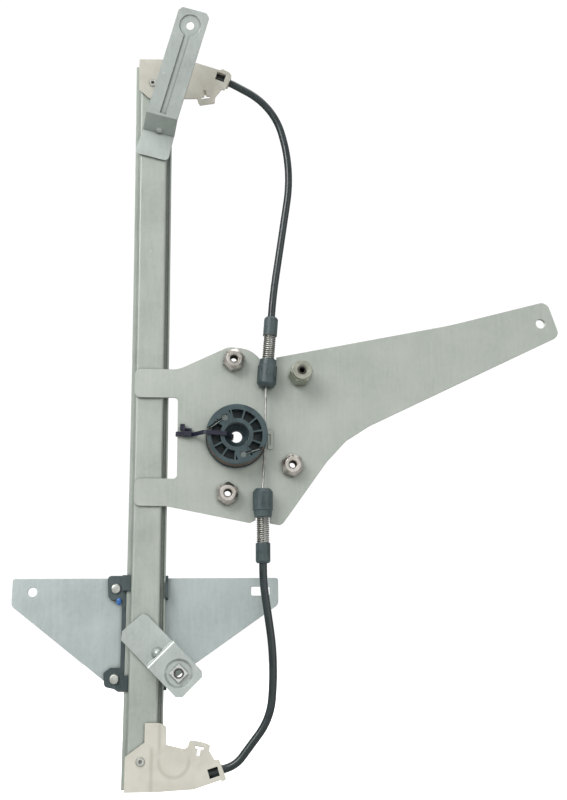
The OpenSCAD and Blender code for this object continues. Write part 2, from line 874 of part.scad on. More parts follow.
// lengths of the two straights that close a route onto its mouth
function close_route(gap, h1, h2) = let (
    d = sin(h1) * cos(h2) - sin(h2) * cos(h1)
  ) [(gap[0] * cos(h2) - gap[1] * sin(h2)) / d, (gap[1] * sin(h1) - gap[0] * cos(h1)) / d];

// bends of the upper conduit, as [radius, turn]
upper_bends = [[360, 4], [115, -25.4], [48, -45], [18, -10]];
upper_in_plane = [
  upper_mouth[0] - upper_start[0],
  norm([upper_mouth[1] - upper_start[1], upper_mouth[2] - upper_start[2]])
];
upper_h1 = upper_lean + upper_bends[0][1];
upper_h2 = upper_h1 + upper_bends[1][1];
upper_h3 = upper_h2 + upper_bends[2][1];
upper_straights = close_route(
  upper_in_plane
    - shift(upper_lean, upper_bends[0][0], upper_bends[0][1])
    - shift(upper_h1, upper_bends[1][0], upper_bends[1][1])
    - shift(upper_h2, upper_bends[2][0], upper_bends[2][1])
    - shift(upper_h3, upper_bends[3][0], upper_bends[3][1]),
  upper_h1, upper_h3);
upper_steps = [
  upper_bends[0], [upper_straights[0]], upper_bends[1], upper_bends[2], [upper_straights[1]], upper_bends[3]
];
upper_dip = atan2(upper_start[1] - upper_mouth[1], upper_mouth[2] - upper_start[2]);

// bends of the lower conduit, seen with the guide above, as [radius, turn]
lower_bends = [[120, 8.2], [180, -13.6], [39, -32.6], [18, -35.6]];
lower_in_plane = [
  lower_mouth[0] - lower_start[0],
  norm([lower_mouth[1] - lower_start[1], lower_mouth[2] - lower_start[2]])
];
lower_h1 = lower_bends[0][1];
lower_h2 = lower_h1 + lower_bends[1][1];
lower_h3 = lower_h2 + lower_bends[2][1];
lower_straights = close_route(
  lower_in_plane
    - shift(0, lower_bends[0][0], lower_bends[0][1])
    - shift(lower_h1, lower_bends[1][0], lower_bends[1][1])
    - shift(lower_h2, lower_bends[2][0], lower_bends[2][1])
    - shift(lower_h3, lower_bends[3][0], lower_bends[3][1]),
  lower_h1, lower_h3);
lower_steps = [
  lower_bends[0], [lower_straights[0]], lower_bends[1], lower_bends[2], [lower_straights[1]], lower_bends[3]
];
lower_dip = atan2(lower_start[1] - lower_mouth[1], lower_start[2] - lower_mouth[2]);

// the outside of a conduit's whole route, from its cap to its end in the guide
module upper_route(r, start, inner_end) {
  upper_tensioner_place()
    straight(start, straight_in_cap, r);
  translate(upper_start)
    rotate([upper_dip, 0, 0])
      rotate([0, upper_lean, 0])
        route(upper_steps, r);
  on_rail(top_angle)
    at_mouth(top_slope, top_mouth_z, 1)
      straight(0, inner_end, r);
}

module lower_route(r, start, inner_end) {
  lower_tensioner_place()
    straight(start, straight_in_cap, r);
  translate(lower_start)
    rotate([180 - lower_dip, 0, 0])
      route(lower_steps, r);
  on_rail(bottom_angle)
    at_mouth(bottom_slope, bottom_mouth_z, -1)
      straight(0, inner_end, r);
}

conduit_stop = 12.4; // how far a conduit reaches into its guide

module upper_conduit() {
  black_plastic()
    difference() {
      upper_route(conduit_r, conduit_end, conduit_stop);
      upper_route(conduit_bore / 2, conduit_end - cut, conduit_stop + cut);
    }
}

module lower_conduit() {
  black_plastic()
    difference() {
      lower_route(conduit_r, conduit_end, conduit_stop);
      lower_route(conduit_bore / 2, conduit_end - cut, conduit_stop + cut);
    }
}

module ferrule_shape() {
  difference() {
    translate([0, 0, 2.4])
      cylinder(r = ferrule_d / 2, h = ferrule_length);
    cylinder(r = conduit_r + fit_gap, h = conduit_stop + fit_gap);
    cylinder(r = conduit_bore / 2, h = 20);
  }
}

module conduit_ferrules() {
  black_plastic() {
    on_rail(top_angle)
      at_mouth(top_slope, top_mouth_z, 1)
        ferrule_shape();
    on_rail(bottom_angle)
      at_mouth(bottom_slope, bottom_mouth_z, -1)
        ferrule_shape();
  }
}

// straight rod that ends just short of a joint
module rod_to(p, q, r) {
  rod(p, q - unit(q - p) * joint_gap, r);
  translate(q)
    joint(r);
}

// the cable inside a guide: on from the mouth, round the core and into the channel
function reach(slope) = (mouth_x - core_x - bend_radius * sin(slope)) / cos(slope);

module cable_round_core(slope, mouth_z, way) {
  at_mouth(slope, mouth_z, way)
    translate([0, 0, 1])
      route([[reach(slope) - 1], [bend_radius, -way * (90 + slope)]], cable_r);
}

module channel_cable(from, to) {
  along_rail(from + joint_gap * degree, to - joint_gap * degree)
    translate([cable_depth, cable_side])
      circle(r = cable_r, $fn = 24);
}

degree = 180 / (PI * (rail_curve + cable_depth)); // degrees of the sweep per millimetre of cable

// height over the drive axis at which a straight run is clear of the wound turns
run_start = sqrt(pow(pitch_radius + cable_d + 0.06, 2) - pow(pitch_radius, 2));

module upper_drive_cable() {
  from_drum = [pitch_radius, groove_y(0), run_start];
  into_socket = [19.2, -cable_height, upper_socket_z];
  bright_wire() {
    rod_to(from_drum, into_socket, cable_r);
    upper_route(cable_r, 0, 1);
    on_rail(top_angle)
      cable_round_core(top_slope, top_mouth_z, 1);
    channel_cable(carrier_angle + 0.2 * degree, top_angle + top_core_z * degree);
  }
}

module lower_drive_cable() {
  from_drum = [pitch_radius, groove_y(groove_count - 1), -run_start];
  into_socket = [16.8, -cable_height, lower_socket_z];
  bright_wire() {
    rod_to(from_drum, into_socket, cable_r);
    lower_route(cable_r, 0, 1);
    on_rail(bottom_angle)
      cable_round_core(bottom_slope, bottom_mouth_z, -1);
    channel_cable(bottom_angle + bottom_core_z * degree, carrier_angle - 0.2 * degree);
  }
}

// ---- carrier

carrier_front = 15;
carrier_back = carrier_front + carrier_gauge;
half_carrier = carrier_width / 2;
carrier_top = 34.2;
glass_row = carrier_top - 8.4;
slider_top = carrier_top + 1.1;
slider_bottom = carrier_top - carrier_height + 0.6;
ear_places = [[-19, slider_top - 8], [-18.4, slider_bottom + 7.2]];
glass_hole_x = -half_carrier + 12.7;
slot_start = half_carrier - 17.5;
ear_rivet_r = 2;

carrier_outline = [
  [-half_carrier, carrier_top, 1.5],
  [half_carrier, carrier_top, 1.5],
  [half_carrier, carrier_top - 17, 4],
  [7.3, carrier_top - carrier_height, 3],
  [-16.6, carrier_top - carrier_height, 3],
  [-half_carrier, carrier_top - 17, 4]
];

module carrier_plate() {
  steel_colour()
    on_rail(carrier_angle)
      difference() {
        sheet(rounded(carrier_outline), carrier_front, carrier_back);
        boss(glass_hole_x, glass_row, glass_hole_d / 2, carrier_front - cut, carrier_back + cut);
        sheet(rounded([
          [slot_start, glass_row - 2.9, 1], [slot_start, glass_row + 2.9, 1],
          [slot_start + slot_length, glass_row + 2.9, 1], [slot_start + slot_length, glass_row - 2.9, 1]
        ]), carrier_front - cut, carrier_back + cut);
        for (p = ear_places)
          boss(p[0], p[1], ear_rivet_r + fit_gap, carrier_front - cut, carrier_back + cut);
        boss(14.5, carrier_top - 0.63 * carrier_height, 2.2, carrier_front - cut, carrier_back + cut);
      }
}

// jaws on the flanges, ears for the rivets, and a block in the channel for the cable's ends
ear_front = rail_depth;
jaw_front = 6.4;
jaw_reach = -half_web - 0.5;
slider_left = -half_rail - 2.7;
slider_bow = 0.42; // how far the rail bows forward along the slider's half length
shoe_outer = half_rail + 1.5;
nipple_pocket = 1.7;

module ear(list) {
  sheet(rounded(list), ear_front, carrier_front);
}

module left_jaw(z0, z1) {
  block([slider_left, jaw_front, z0], [jaw_reach, flange_front - run_gap - slider_bow, z1]);
  block([slider_left, jaw_front, z0], [-half_rail - run_gap, carrier_front, z1]);
}

module right_shoe(z0, z1) {
  lip_front = flange_front - lip_height - run_gap - slider_bow;
  block([half_rail + run_gap, lip_front - 1.2, z0], [shoe_outer, carrier_front, z1]);
  block([half_rail - 0.5, lip_front - 1.2, z0], [shoe_outer, lip_front, z1]);
}

module slider() {
  behind = rail_depth + run_gap + 0.1;
  upper_foot = slider_top - 15.1;
  lower_head_z = slider_bottom + 13.9;
  stem = slider_left + 1;
  dark_plastic()
    on_rail(carrier_angle)
      difference() {
        union() {
          ear([[slider_left - 9.6, slider_top, 2.5], [stem, slider_top, 0.5],
            [stem, upper_foot, 0.5], [slider_left - 8.6, upper_foot, 3]]);
          ear([[slider_left - 10.4, lower_head_z - 3, 2], [slider_left - 6.2, lower_head_z, 2], [stem, lower_head_z, 0.5],
            [stem, slider_bottom, 0.5], [slider_left - 9.6, slider_bottom + 2.4, 2.5]]);
          block([slider_left, ear_front, slider_bottom], [-half_rail - run_gap, carrier_front, slider_top]);
          block([slider_left, behind, upper_foot], [shoe_outer, carrier_front, slider_top]);
          block([slider_left, behind, slider_bottom], [shoe_outer, carrier_front, lower_head_z]);
          block([slider_left, behind, -16], [9, carrier_front, 16]);
          left_jaw(slider_top - 9.7, slider_top);
          left_jaw(slider_bottom, slider_bottom + 9);
          right_shoe(slider_top - 14.5, slider_top - 4.7);
          right_shoe(slider_bottom + 4.4, lower_head_z);
          block([-5, 2.4, -14], [inner_wall - 0.4, carrier_front, 14]);
        }
        for (p = ear_places)
          boss(p[0], p[1], ear_rivet_r + fit_gap, ear_front - cut, carrier_front + cut);
        translate([cable_side, cable_depth, -30])
          cylinder(r = cable_r + 0.4, h = 60);
        block([cable_side - cable_r - 0.4, 0, -20], [cable_side + cable_r + 0.4, cable_depth, 20]);
        for (z = [5, -11])
          translate([cable_side, cable_depth, z])
            cylinder(r = nipple_pocket, h = 6);
      }
}

module cable_end_nipples() {
  bright_wire()
    on_rail(carrier_angle)
      for (z = [5.3, -10.7])
        translate([cable_side, cable_depth, z])
          difference() {
            cylinder(r = nipple_pocket - fit_gap, h = 5.4);
            translate([0, 0, -cut])
              cylinder(r = cable_r + 0.4, h = 8);
          }
}

module slider_rivets() {
  steel_colour()
    on_rail(carrier_angle)
      for (p = ear_places)
        difference() {
          union() {
            boss(p[0], p[1], ear_rivet_r, ear_front - 0.5, carrier_back + 0.5);
            cone(p[0], p[1], 2.4, 3.2, ear_front - 1.3, ear_front);
            cone(p[0], p[1], 3.2, 2.4, carrier_back, carrier_back + 1.1);
          }
          boss(p[0], p[1], 0.9, ear_front - 2, ear_front + 2);
        }
}

// ---- brackets

upper_bracket_angle = 7.93;
bracket_turn = 13.4;
head_lean = 3.9; // lean of the upper head beside the flange
head_tilt = 10.4; // how far the upper head tips forward from the flange
riser_rise = 6.4;
head_end = riser_rise + upper_head * cos(head_tilt) - 0.1;

module upper_bracket_place() {
  on_rail(upper_bracket_angle)
    translate([-6.5, 0, 2.4])
      rotate([0, bracket_turn, 0])
        children();
}

// section of the upper bracket: flange, riser and head, as [y, z]
function upper_section(g) = let (
    back = -guide_seat,
    top = [back - upper_step, riser_rise],
    along = [-sin(head_tilt), cos(head_tilt)],
    normal = [cos(head_tilt), sin(head_tilt)]
  ) [
    [back, -18], [back, 0.6], top + normal * g + [0.3, -0.2], top + normal * g + along * (upper_head + 1),
    top + along * (upper_head + 1), top + [-0.6, -0.8], [back - g, -0.8], [back - g, -18]
  ];

module upper_head_place() {
  translate([1.6 + bracket_width / 2, -guide_seat - upper_step, riser_rise])
    rotate([head_tilt, 0, 0])
      rotate([0, head_lean, 0])
        children();
}

module upper_bracket() {
  disc_z = 60.3;
  disc_r = 7.2;
  sink = 0.8;
  steel_colour()
    upper_bracket_place()
      difference() {
        union() {
          intersection() {
            folded(upper_section(bracket_gauge), -5, 40);
            sheet(rounded([
              [-1.8, -18, 3], [0.2, 0, 5], [1.6, riser_rise, 5], [6.4, head_end - 2.4, 1], [8.6, head_end, 1],
              [bracket_width + 4, head_end, 1], [bracket_width + 6.3, head_end - 2.4, 1],
              [bracket_width + 1.6, riser_rise, 5], [bracket_width + 0.6, 0, 5], [bracket_width + 0.6, -18, 3]
            ]), -60, 10);
          }
          upper_head_place() {
            cone(0, disc_z, disc_r + 0.6, disc_r, bracket_gauge - 0.1, bracket_gauge + sink);
            block([-2.6, bracket_gauge - 0.1, 2], [2.6, bracket_gauge + sink, disc_z - 4]);
          }
          translate([10.8, -3.6, 2])
            sphere(r = 3.4);
        }
        upper_head_place() {
          cone(0, disc_z, disc_r, disc_r - 0.6, -0.4, sink);
          block([-2, -cut, 1], [2, sink, disc_z - 4]);
          boss(0, disc_z, upper_hole_d / 2, -3, 6);
        }
        block([-5, -guide_seat + 0.001, -30], [40, 20, 1]);
      }
}

lower_bracket_angle = -4.9;

module lower_bracket_place() {
  on_rail(lower_bracket_angle)
    translate([2.3, 0, -16.1])
      rotate([0, -44.6, 0])
        children();
}

lower_back = -guide_seat - lower_step;

module lower_bracket() {
  g = bracket_gauge;
  seat = -guide_seat;
  sink = 1;
  mid = bracket_width / 2 + 0.6;
  right = bracket_width + 1.2;
  steel_colour()
    lower_bracket_place()
      difference() {
        union() {
          intersection() {
            folded(rounded([
              [seat, 30, 0], [seat - g, 30, 0], [seat - g, g - 1, 1], [lower_back - g, g - 1, 2.2],
              [lower_back - g, -lower_head, 0], [lower_back, -lower_head, 0], [lower_back, -1, 0.7], [seat, -1, 2.2]
            ]), -5, 30);
            sheet(rounded([
              [0, -lower_head + 2.8, 0.6], [2.8, -lower_head, 0.6],
              [right - 2.4, -lower_head, 0.6], [right, -lower_head + 2.8, 0.6],
              [right, 22.4, 1.5], [right - 1.2, 25.8, 1.5], [4.2, 27, 1.5], [0, 23.6, 1.5]
            ]), -30, 10);
          }
          cone(mid, square_z, 9.6, 8.6, lower_back - 0.1, lower_back + sink);
          translate([mid - 0.8, seat - g - 0.4, 1.8])
            sphere(r = 3.2);
        }
        cone(mid, square_z, 8.8, 7.4, lower_back - g - 0.01, lower_back - g + sink + 0.1);
        boss(mid, square_z, square_pilot + fit_gap, -30, 2);
        block([-5, seat + 0.001, -2], [30, 20, 40]);
      }
}
square_z = -16.5;
square_pilot = 3.6;

module bracket_square_nut() {
  floor_y = lower_back - bracket_gauge + 1.1;
  mid = bracket_width / 2 + 0.6;
  nut_colour()
    lower_bracket_place()
      difference() {
        union() {
          block([mid - square_side / 2, floor_y - 3, square_z - square_side / 2],
            [mid + square_side / 2, floor_y, square_z + square_side / 2]);
          boss(mid, square_z, square_pilot, floor_y - 0.5, lower_back + 2.4);
        }
        boss(mid, square_z, nut_bore / 2, -40, 10);
        cone(mid, square_z, nut_bore / 2 + 0.6, nut_bore / 2, floor_y - 3.01, floor_y - 2.4);
      }
}

// ---- transit tie that holds the drum on the plate until the motor is fitted

tie_width = 2.6;
tie_gauge = 0.9;
tie_lean = 3.5;

// path moved to its left by d
function beside(path, d) = [for (i = [0:len(path) - 1]) let (
    here = path[i],
    u = unit(i == 0 ? path[1] - here : here - path[i - 1]),
    v = i == len(path) - 1 ? u : unit(path[i + 1] - here),
    nu = [-u[1], u[0]],
    nv = [-v[1], v[0]]
  ) here + (nu + nv) * d / (1 + nu * nv)];

// flat strap of one thickness along a path in the XY plane
module strap(path, z0, z1) {
  left = beside(path, tie_gauge / 2);
  right = beside(path, -tie_gauge / 2);
  translate([0, 0, z0])
    linear_extrude(height = z1 - z0)
      polygon(concat(left, [for (i = [len(path) - 1:-1:0]) right[i]]));
}

module cable_tie() {
  over = drum_front - 0.45 - tie_gauge / 2;
  in_bore = -2.2;
  behind = plate_gauge + 1.1;
  around = -window_edge - tie_gauge / 2 - 0.3;
  half = tie_width / 2;
  black_plastic()
    rotate([0, tie_lean, 0])
      difference() {
        union() {
          strap([
            [-30, -2], [-28, -2.4], [-21, over + 0.4], [-19.6, over], [-6.8, over],
            [in_bore, drum_front + recess_depth - 1], [in_bore, behind], [around + 0.8, behind],
            [around, behind - 0.8], [around, -1.6], [around + 0.8, -2.4], [-34, -2.4]
          ], -half, half);
          block([-34.6, -4.2, -half - 0.2], [-29, -0.4, half + 2.4]);
          block([-36.6, -3.6, half + 1.2], [-33.6, -1, half + 5]);
        }
        block([-33.4, -5, half + 0.4], [-30.4, 0, half + 1.5]);
      }
}

guide_rail();
top_cable_guide();
bottom_cable_guide();
guide_rivets();
motor_plate();
motor_nuts();
standoff();
cable_drum();
wound_cable();
drum_nipples();
upper_tension_socket();
lower_tension_socket();
upper_tension_spring();
lower_tension_spring();
upper_tension_cap();
lower_tension_cap();
upper_conduit();
lower_conduit();
conduit_ferrules();
upper_drive_cable();
lower_drive_cable();
carrier_plate();
slider();
cable_end_nipples();
slider_rivets();
upper_bracket();
lower_bracket();
bracket_square_nut();
cable_tie();
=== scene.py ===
import json
import math
import bpy
from mathutils import Matrix, Quaternion, Vector


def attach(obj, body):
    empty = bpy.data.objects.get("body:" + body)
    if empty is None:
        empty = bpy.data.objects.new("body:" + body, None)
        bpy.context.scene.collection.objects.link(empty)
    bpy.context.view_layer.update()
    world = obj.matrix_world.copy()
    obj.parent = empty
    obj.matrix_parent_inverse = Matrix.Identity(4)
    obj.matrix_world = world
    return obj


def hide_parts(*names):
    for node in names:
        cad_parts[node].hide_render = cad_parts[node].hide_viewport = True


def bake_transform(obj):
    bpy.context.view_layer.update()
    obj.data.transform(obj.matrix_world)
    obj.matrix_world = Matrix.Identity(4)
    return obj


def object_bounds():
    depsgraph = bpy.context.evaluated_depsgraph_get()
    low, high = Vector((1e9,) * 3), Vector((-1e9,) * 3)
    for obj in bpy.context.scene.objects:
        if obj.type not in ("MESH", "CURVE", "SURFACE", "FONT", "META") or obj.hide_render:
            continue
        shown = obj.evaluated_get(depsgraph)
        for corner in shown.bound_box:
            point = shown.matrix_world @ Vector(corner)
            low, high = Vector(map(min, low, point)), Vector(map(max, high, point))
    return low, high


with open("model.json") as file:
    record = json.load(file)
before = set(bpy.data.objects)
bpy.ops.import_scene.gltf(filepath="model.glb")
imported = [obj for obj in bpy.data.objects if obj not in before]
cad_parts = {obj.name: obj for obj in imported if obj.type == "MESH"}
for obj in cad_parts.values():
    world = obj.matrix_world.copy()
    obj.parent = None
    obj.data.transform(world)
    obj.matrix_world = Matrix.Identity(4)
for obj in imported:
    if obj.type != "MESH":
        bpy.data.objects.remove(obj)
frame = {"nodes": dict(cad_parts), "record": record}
nodes = frame["nodes"]
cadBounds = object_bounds()
scene = bpy.context.scene
mm = 0.001
print("frame loaded:", len(nodes), "nodes")


# Small helpers for colours, shader nodes and materials

def srgb(red, green, blue):  # a colour as the eye picks it, 0 to 255
    def linear(value):
        value /= 255
        return value / 12.92 if value <= 0.04045 else ((value + 0.055) / 1.055) ** 2.4
    return (linear(red), linear(green), linear(blue), 1)


def feed(tree, socket, value):  # a link from another node, or else a fixed value
    if isinstance(value, bpy.types.NodeSocket):
        tree.links.new(value, socket)
    else:
        socket.default_value = value


def put(tree, kind, sockets=None, **settings):
    node = tree.nodes.new("ShaderNode" + kind)
    for name, value in settings.items():
        setattr(node, name, value)
    for name, value in (sockets or {}).items():
        feed(tree, node.inputs[name], value)
    return node


def objectPlace(tree):
    return put(tree, "TexCoord").outputs["Object"]


def ramp(tree, value, low, high, toLow=0.0, toHigh=1.0):  # clamped change of range
    return put(tree, "MapRange", {"Value": value, "From Min": low, "From Max": high,
                                  "To Min": toLow, "To Max": toHigh}, clamp=True).outputs["Result"]


def mixColour(tree, mask, first, second):  # the colour sockets of a Mix node are 6, 7 and 2
    node = put(tree, "Mix", {"Factor": mask}, data_type="RGBA")
    feed(tree, node.inputs[6], first)
    feed(tree, node.inputs[7], second)
    return node.outputs[2]


def calculate(tree, operation, first, second=0.0):
    node = put(tree, "Math", operation=operation)
    feed(tree, node.inputs[0], first)
    feed(tree, node.inputs[1], second)
    return node.outputs[0]


def tint(tree, colour, mask, strength, tone):  # lays a tone over the colour where the mask is
    return mixColour(tree, calculate(tree, "MULTIPLY", mask, strength), colour, tone)


def newGroup(name, inputs, outputs):
    group = bpy.data.node_groups.new(name, "ShaderNodeTree")
    for label, value in inputs.items():
        socket = group.interface.new_socket(label, in_out="INPUT", socket_type="NodeSocketFloat")
        socket.default_value = value
    for label in outputs:
        group.interface.new_socket(label, in_out="OUTPUT", socket_type="NodeSocketFloat")
    start = group.nodes.new("NodeGroupInput")
    end = group.nodes.new("NodeGroupOutput")
    return group, start.outputs, end.inputs


def useGroup(tree, group, values=None):
    node = tree.nodes.new("ShaderNodeGroup")
    node.node_tree = group
    for name, value in (values or {}).items():
        node.inputs[name].default_value = value
    return node.outputs


def newMaterial(name, **fixed):
    material = bpy.data.materials.new(name)
    material.use_nodes = True
    shader = material.node_tree.nodes["Principled BSDF"]
    for socket, value in fixed.items():
        shader.inputs[socket.replace("_", " ")].default_value = value
    return material, material.node_tree, shader


def finishShader(tree, shader, colour, rough, height, relief, softEdge=0.0):
    tree.links.new(colour, shader.inputs["Base Color"])
    tree.links.new(rough, shader.inputs["Roughness"])
    bump = {"Height": height, "Strength": relief[0], "Distance": relief[1]}
    if softEdge:  # makes the sharp edges of a solid look slightly rounded
        bump["Normal"] = put(tree, "Bevel", {"Radius": softEdge}, samples=4).outputs["Normal"]
    tree.links.new(put(tree, "Bump", bump).outputs["Normal"], shader.inputs["Normal"])


# Effects that several finishes share

def makeZincBloom():  # cloudy patches and small crystals of a zinc coat
    tree, given, made = newGroup("zincBloom", {"Patch Scale": 45, "Crystal Scale": 420},
                                 ["Cloud", "Crystal", "Fine"])
    place = objectPlace(tree)
    cloud = put(tree, "TexNoise", {"Vector": place, "Scale": given["Patch Scale"], "Detail": 5,
                                   "Roughness": 0.62})
    crystal = put(tree, "TexVoronoi", {"Vector": place, "Scale": given["Crystal Scale"]},
                  feature="SMOOTH_F1")
    fine = put(tree, "TexNoise", {"Vector": place, "Scale": 2600, "Detail": 2})
    tree.links.new(ramp(tree, cloud.outputs[0], 0.3, 0.7), made["Cloud"])
    tree.links.new(ramp(tree, crystal.outputs["Distance"], 0.1, 0.8), made["Crystal"])
    tree.links.new(fine.outputs[0], made["Fine"])
    return tree


def makeHandlingWear():  # long rubs, short scratches and dust specks
    tree, given, made = newGroup("handlingWear", {"Rub Scale": 40, "Speck Scale": 130},
                                 ["Rub", "Scratch", "Speck"])
    place = objectPlace(tree)
    lengthwise = put(tree, "Mapping", {"Vector": place, "Rotation": (0.1, 0.35, 0), "Scale": (14, 14, 1)})
    across = put(tree, "Mapping", {"Vector": place, "Rotation": (0, 1.1, 0.2), "Scale": (30, 30, 1.5)})
    rub = put(tree, "TexNoise", {"Vector": lengthwise.outputs[0], "Scale": given["Rub Scale"], "Detail": 3})
    scratch = put(tree, "TexNoise", {"Vector": across.outputs[0], "Scale": 60, "Detail": 2})
    speck = put(tree, "TexVoronoi", {"Vector": place, "Scale": given["Speck Scale"], "Randomness": 1})
    choice = put(tree, "TexNoise", {"Vector": place, "Scale": 70})
    tree.links.new(ramp(tree, rub.outputs[0], 0.42, 0.75), made["Rub"])
    tree.links.new(ramp(tree, scratch.outputs[0], 0.68, 0.74), made["Scratch"])
    spots = ramp(tree, speck.outputs["Distance"], 0.05, 0.1, 1, 0)
    few = ramp(tree, choice.outputs[0], 0.62, 0.66)
    tree.links.new(calculate(tree, "MULTIPLY", spots, few), made["Speck"])
    return tree


def makeMouldGrain():  # spark-eroded grain and flow marks of moulded plastic
    tree, given, made = newGroup("mouldGrain", {"Grain Scale": 2200}, ["Grain", "Flow"])
    place = objectPlace(tree)
    grain = put(tree, "TexNoise", {"Vector": place, "Scale": given["Grain Scale"], "Detail": 2,
                                   "Roughness": 0.6})
    flow = put(tree, "TexNoise", {"Vector": place, "Scale": 90, "Detail": 3, "Distortion": 0.8})
    tree.links.new(grain.outputs[0], made["Grain"])
    tree.links.new(ramp(tree, flow.outputs[0], 0.35, 0.65), made["Flow"])
    return tree


def paintedShadeAndGrimeIn(tree, colour, paintedShadeAndGrime, reach, amount):  # painted shade in corners where ambient occlusion finds them, mixed with dirt and old oil that stay there
    openness = put(tree, "AmbientOcclusion", {"Distance": reach}, samples=6).outputs["AO"]
    ragged = put(tree, "TexNoise", {"Vector": objectPlace(tree), "Scale": 500, "Detail": 3}).outputs[0]
    uneven = ramp(tree, ragged, 0.3, 0.7, 0.8, 1.1)
    mask = calculate(tree, "MULTIPLY", ramp(tree, openness, 0.3, 0.92, amount, 0), uneven)
    return mixColour(tree, mask, colour, paintedShadeAndGrime)


def patchyRough(tree, mask, rough, spread):  # glossier where the mask is 0, duller where it is 1
    return ramp(tree, mask, 0, 1, rough - spread[0], rough + spread[1])


zincBloom = makeZincBloom()
handlingWear = makeHandlingWear()
mouldGrain = makeMouldGrain()


# Zinc-coated sheet: rail, motor plate, carrier and brackets
# A relief holds the strength and the depth of a bump, and an edge is the radius that edges seem to have

# corner darkening in these tables is painted shade mixed with dirt
sheetMarks = {"crystal": 0.25, "rubbed": 0.35, "scratch": 0.3, "speck": 0.5, "paintedShadeAndGrime": srgb(66, 72, 70),
              "spread": (0.05, 0.07), "scratchGloss": -0.1, "scratchDepth": -0.6, "fineDepth": 0.35,
              "relief": (0.25, 0.04 * mm)}
railSteelLook = {
    "metallic": 0.62, "patch": 38, "rough": 0.44, "edge": 0.4 * mm, "reach": 2.2 * mm, "paintedShadeAndGrime": 0.85,
    "shade": srgb(160, 168, 160), "light": srgb(178, 186, 178), "crystal": srgb(188, 194, 186),
    "rubbed": srgb(188, 193, 183), "scratch": srgb(205, 208, 202), "speck": srgb(226, 228, 222)}
plateSteelLook = {
    "metallic": 0.55, "patch": 30, "rough": 0.46, "edge": 0.4 * mm, "reach": 3 * mm, "paintedShadeAndGrime": 0.7,
    "shade": srgb(168, 176, 168), "light": srgb(184, 190, 182), "crystal": srgb(192, 198, 190),
    "rubbed": srgb(190, 196, 187), "scratch": srgb(204, 208, 200), "speck": srgb(222, 224, 218)}
carrierSteelLook = {
    "metallic": 0.6, "patch": 24, "rough": 0.4, "edge": 0.4 * mm, "reach": 3 * mm, "paintedShadeAndGrime": 0.6,
    "shade": srgb(166, 178, 177), "light": srgb(184, 194, 192), "crystal": srgb(196, 205, 204),
    "rubbed": srgb(194, 204, 202), "scratch": srgb(206, 213, 212), "speck": srgb(228, 231, 230)}
bracketSteelLook = {
    "metallic": 0.7, "patch": 34, "rough": 0.4, "edge": 0.3 * mm, "reach": 1.6 * mm, "paintedShadeAndGrime": 1.0,
    "shade": srgb(168, 176, 172), "light": srgb(190, 198, 194), "crystal": srgb(206, 212, 208),
    "rubbed": srgb(200, 206, 203), "scratch": srgb(218, 222, 220), "speck": srgb(232, 234, 232)}


def sheetSteel(name, look):
    material, tree, shader = newMaterial(name, Metallic=look["metallic"])
    bloom = useGroup(tree, zincBloom, {"Patch Scale": look["patch"]})
    wear = useGroup(tree, handlingWear)
    colour = mixColour(tree, bloom["Cloud"], look["shade"], look["light"])
    for mask, mark in ((bloom["Crystal"], "crystal"), (wear["Rub"], "rubbed"),
                       (wear["Scratch"], "scratch"), (wear["Speck"], "speck")):
        colour = tint(tree, colour, mask, sheetMarks[mark], look[mark])
    # painted shade and dirt in the corners
    colour = paintedShadeAndGrimeIn(tree, colour, sheetMarks["paintedShadeAndGrime"], look["reach"], look["paintedShadeAndGrime"])
    cloudy = patchyRough(tree, bloom["Cloud"], look["rough"], sheetMarks["spread"])
    polish = calculate(tree, "MULTIPLY", wear["Scratch"], sheetMarks["scratchGloss"])
    rough = calculate(tree, "ADD", cloudy, polish)
    grain = calculate(tree, "MULTIPLY", bloom["Fine"], sheetMarks["fineDepth"])
    grooves = calculate(tree, "MULTIPLY", wear["Scratch"], sheetMarks["scratchDepth"])
    height = calculate(tree, "ADD", grain, grooves)
    finishShader(tree, shader, colour, rough, height, sheetMarks["relief"], look["edge"])
    return material


# Bare and plated metal: nuts, standoff, rivets, springs, threads and cast cable ends

turnedMarks = {"bloom": {"Patch Scale": 210, "Crystal Scale": 900},
               "wear": {"Rub Scale": 120, "Speck Scale": 400}, "scratch": 0.5, "scratchDepth": -0.8,
               "paintedShadeAndGrime": srgb(48, 44, 40), "reach": 1.8 * mm,
               "spread": (0.08, 0.12), "relief": (0.35, 0.03 * mm), "edge": 0.3 * mm}
nickelLook = {"paintedShadeAndGrime": 0.75, "rough": 0.28,
              "shade": srgb(172, 166, 158), "light": srgb(222, 218, 211), "bright": srgb(238, 235, 230)}
yellowZincLook = {"paintedShadeAndGrime": 0.12, "rough": 0.36,
                  "shade": srgb(158, 160, 148), "light": srgb(190, 192, 178), "bright": srgb(220, 222, 212)}
rivetLook = {"paintedShadeAndGrime": 0.5, "rough": 0.36,
             "shade": srgb(182, 184, 178), "light": srgb(214, 216, 210), "bright": srgb(236, 237, 234)}
castZincLook = {"paintedShadeAndGrime": 0.1, "rough": 0.42,
                "shade": srgb(96, 104, 102), "light": srgb(136, 144, 141), "bright": srgb(190, 194, 190)}
springLook = {"paintedShadeAndGrime": 0.3, "rough": 0.28,
              "shade": srgb(132, 133, 128), "light": srgb(186, 187, 180), "bright": srgb(222, 222, 216)}
brightZincLook = {"paintedShadeAndGrime": 0.9, "rough": 0.3,
                  "shade": srgb(194, 198, 196), "light": srgb(226, 229, 227), "bright": srgb(242, 244, 243)}
threadLook = {"paintedShadeAndGrime": 0.3, "rough": 0.4,
              "shade": srgb(96, 92, 88), "light": srgb(132, 128, 123), "bright": srgb(180, 176, 170)}


